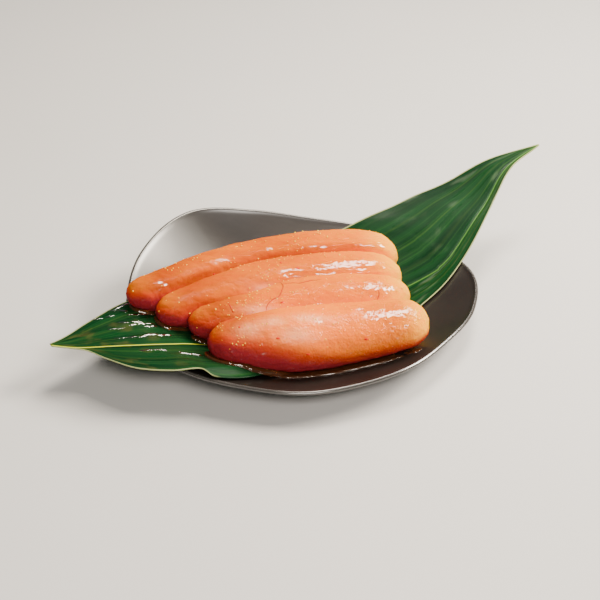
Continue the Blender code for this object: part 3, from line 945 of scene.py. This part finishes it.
def drop(centre, length, width, heading, height):
    """A low rounded drop on the leaf: its points, and the faces of a closed shell."""
    angle = np.linspace(0.0, 2.0 * math.pi, DROP_SIDES, endpoint=False)
    out = np.sin(np.linspace(0.0, math.pi / 2.0, DROP_RINGS + 1))[1:]
    along = (out[:, None] * np.cos(angle)).ravel() * length / 2.0
    across = (out[:, None] * np.sin(angle)).ravel() * width / 2.0
    up = np.repeat(np.sqrt(np.clip(1.0 - out**2, 0.0, None)), DROP_SIDES) * height
    x = centre[0] + along * math.cos(heading) - across * math.sin(heading)
    y = centre[1] + along * math.sin(heading) + across * math.cos(heading)
    base = leaf_height(x, y) + LEAF_THICKNESS
    top = leaf_height(*centre) + LEAF_THICKNESS + height
    shell = np.column_stack([x, y, base + up])
    shell[-DROP_SIDES:, 2] -= DROP_EDGE_SINK
    points = np.vstack([shell, [(*centre, top)], [(*centre, top - height - DROP_SOLE_SINK)]])
    faces = grid_faces(DROP_RINGS, DROP_SIDES, closed=True)
    peak, sole = len(shell), len(shell) + 1
    last = (DROP_RINGS - 1) * DROP_SIDES
    for side in range(DROP_SIDES):
        after = (side + 1) % DROP_SIDES
        faces.append((after, side, peak))
        faces.append((last + side, last + after, sole))
    return points, faces


def make_streaks(finish):
    """Streaks of liquid on the leaf, as rows of drops."""
    chance = np.random.default_rng(SPICE_SEED)
    points, faces, count = [], [], 0
    for start, end in STREAKS:
        start, end = np.array(start), np.array(end)
        run = end - start
        heading = math.atan2(run[1], run[0])
        drops = max(2, round(float(np.hypot(*run)) / DROP_SPACING))
        for share in np.linspace(*DROP_SHARES, drops):
            centre = start + run * share + chance.normal(0.0, DROP_STRAY, 2)
            size = chance.uniform(*DROP_LENGTHS), chance.uniform(*DROP_WIDTHS)
            turned = heading + chance.normal(0.0, DROP_TURN)
            shell, shell_faces = drop(tuple(centre), *size, turned, DROP_HEIGHT)
            points.append(shell)
            faces += [tuple(corner + count for corner in face) for face in shell_faces]
            count += len(shell)
    item = new_object("liquid_streaks", np.vstack(points), faces)
    item.data.materials.append(finish)
    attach(item, BODY)


def on_skin(trees, place):
    """Nearest place on any lobe, and the skin's normal there."""
    found = [tree.find_nearest(place) for tree in trees]
    nearest = min(found, key=lambda hit: hit[3])
    return nearest[0], nearest[1]


def make_vessels(lobes, finish):
    """Thin blood vessels, half sunk in the skin."""
    trees = [tree_of(lobe.data) for lobe in lobes]
    angle = np.linspace(0.0, 2.0 * math.pi, VESSEL_SIDES, endpoint=False)[:, None]
    points, faces, first = [], [], 0
    for route in VESSELS:
        line = smooth_line(route, VESSEL_STEPS * len(route))
        spots = [on_skin(trees, tuple(place)) for place in line]
        centre = np.array([place for place, _ in spots])
        out = np.array([normal for _, normal in spots])
        across = np.cross(np.gradient(centre, axis=0), out)
        across /= np.maximum(np.linalg.norm(across, axis=1), 1e-6)[:, None]
        share = np.linspace(0.0, 1.0, len(centre))
        taper = np.sqrt(np.clip(4.0 * share * (1.0 - share), VESSEL_LEAST_TAPER, None))
        radius = VESSEL_RADIUS * taper[:, None, None]
        up = VESSEL_FLATNESS * out[:, None, :] * np.sin(angle)
        ring = across[:, None, :] * np.cos(angle) + up
        tube = centre[:, None, :] + VESSEL_LIFT * out[:, None, :] + radius * ring
        points.append(tube.reshape(-1, 3))
        faces += grid_faces(len(centre), VESSEL_SIDES, closed=True, first=first)
        last = first + (len(centre) - 1) * VESSEL_SIDES
        faces.append(tuple(range(first, first + VESSEL_SIDES))[::-1])
        faces.append(tuple(range(last, last + VESSEL_SIDES)))
        first = last + VESSEL_SIDES
    item = new_object("roe_vessels", np.vstack(points), faces)
    item.data.materials.append(finish)
    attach(item, BODY)


def small_ball():
    """Points and faces of a coarse ball of radius 1."""
    ball = bmesh.new()
    bmesh.ops.create_icosphere(ball, subdivisions=1, radius=1.0)
    points = np.array([vert.co[:] for vert in ball.verts])
    faces = [tuple(vert.index for vert in face.verts) for face in ball.faces]
    ball.free()
    return points, faces


def scatter(name, spots, shapes, faces_of_one, finish, tints):
    """Joins one small shape per spot into one piece; each keeps its own tint."""
    size = len(shapes[0])
    points = np.vstack([place + shape for place, shape in zip(spots, shapes)])
    faces = [tuple(corner + index * size for corner in face)
             for index in range(len(spots)) for face in faces_of_one]
    item = new_object(name, points, faces)
    store(item, "tint", np.repeat(tints, size))
    item.data.materials.append(finish)
    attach(item, BODY)


def make_spice(lobes, grain_finish, flake_finish):
    """Spice grains and chilli flakes at true size on the lobes' upper sides."""
    chance = np.random.default_rng(SPICE_SEED)
    skins = [read_points(lobe.data) for lobe in lobes]
    places_on = np.vstack([points for points, _ in skins])
    normals = np.vstack([out for _, out in skins])
    clumps = noise_at(places_on, CLUMP_SIZE, 2, CLUMP_SHIFT)
    upward = np.clip(normals[:, 2] - LEAST_UPWARD, 0.0, None)
    weight = upward * np.exp(CLUMP_STRENGTH * clumps)
    weight /= weight.sum()
    ball, ball_faces = small_ball()
    picks = chance.choice(len(places_on), GRAINS, replace=False, p=weight)
    spots, shapes = [], []
    for pick in picks:
        radius = chance.uniform(*GRAIN_RADII)
        spots.append(places_on[pick] + normals[pick] * radius * GRAIN_LIFT)
        shapes.append(ball * radius * chance.uniform(*GRAIN_STRETCH, 3))
    scatter("spice_grains", spots, shapes, ball_faces, grain_finish, chance.random(GRAINS))
    picks = chance.choice(len(places_on), MORE_FLAKES, replace=False, p=weight)
    trees = [tree_of(lobe.data) for lobe in lobes]
    spots = [on_skin(trees, place) for place in FLAKES]
    spots += [(Vector(places_on[pick]), Vector(normals[pick])) for pick in picks]
    shapes, centres = [], []
    for place, out in spots:
        flat = ball * chance.uniform(*FLAKE_ROUGHNESS, ball.shape)
        size = chance.uniform(*FLAKE_LENGTHS), chance.uniform(*FLAKE_WIDTHS), FLAKE_THICKNESS
        turn = out.to_track_quat("Z", "Y").to_matrix()
        shapes.append(flat * size @ np.array(turn).T)
        centres.append(np.array(place) + np.array(out) * FLAKE_LIFT)
    tints = chance.random(len(centres))
    scatter("chilli_flakes", centres, shapes, ball_faces, flake_finish, tints)


def make_floor(finish):
    """The floor, a large square at z = 0."""
    near, far = -FLOOR_REACH, FLOOR_REACH
    points = [(near, near, 0.0), (far, near, 0.0), (far, far, 0.0), (near, far, 0.0)]
    item = new_object("floor", points, [(0, 1, 2, 3)])
    item.data.materials.append(finish)


def softbox(name, place, width, depth, power, colour):
    """A rectangular area light that faces the target."""
    light = bpy.data.lights.new(name, "AREA")
    light.shape = "RECTANGLE"
    light.size = width
    light.size_y = depth
    light.energy = power
    light.color = colour
    item = bpy.data.objects.new(name, light)
    bpy.context.scene.collection.objects.link(item)
    item.location = place
    toward = Vector(LIGHT_TARGET) - Vector(place)
    item.rotation_euler = toward.to_track_quat("-Z", "Y").to_euler()


def make_world():
    """Faint even light from all round."""
    world = bpy.data.worlds.new("soft_grey")
    world.use_nodes = True
    background = world.node_tree.nodes["Background"]
    background.inputs["Color"].default_value = WORLD_COLOUR
    background.inputs["Strength"].default_value = WORLD_STRENGTH
    bpy.context.scene.world = world


def make_camera():
    """The camera of the photo's view."""
    camera = bpy.data.cameras.new("camera")
    camera.lens = CAMERA_LENS
    camera.sensor_width = CAMERA_SENSOR
    item = bpy.data.objects.new("camera", camera)
    bpy.context.scene.collection.objects.link(item)
    away = Vector((0.0, -math.cos(CAMERA_ELEVATION), math.sin(CAMERA_ELEVATION)))
    item.location = Vector(CAMERA_TARGET) + CAMERA_DISTANCE * away
    item.rotation_euler = (math.pi / 2.0 - CAMERA_ELEVATION, 0.0, 0.0)
    bpy.context.scene.camera = item


make_camera()
make_world()
for light in LIGHTS:
    softbox(*light)
make_floor(floor_material())
make_dish(glaze_material())
make_leaf(leaf_material())
skin = roe_material()
lobes = [make_lobe(node, number, skin) for number, node in enumerate(LOBES)]
make_film(lobes, liquid_material())
make_streaks(drop_material())
vessel_finish = red_material("vessel_red", (0.40, 0.008, 0.006, 1), (0.60, 0.02, 0.008, 1), 0.5)
make_vessels(lobes, vessel_finish)
flake_finish = red_material("chilli_red", (0.60, 0.010, 0.003, 1), (0.85, 0.04, 0.004, 1), 0.5)
make_spice(lobes, grain_material(), flake_finish)
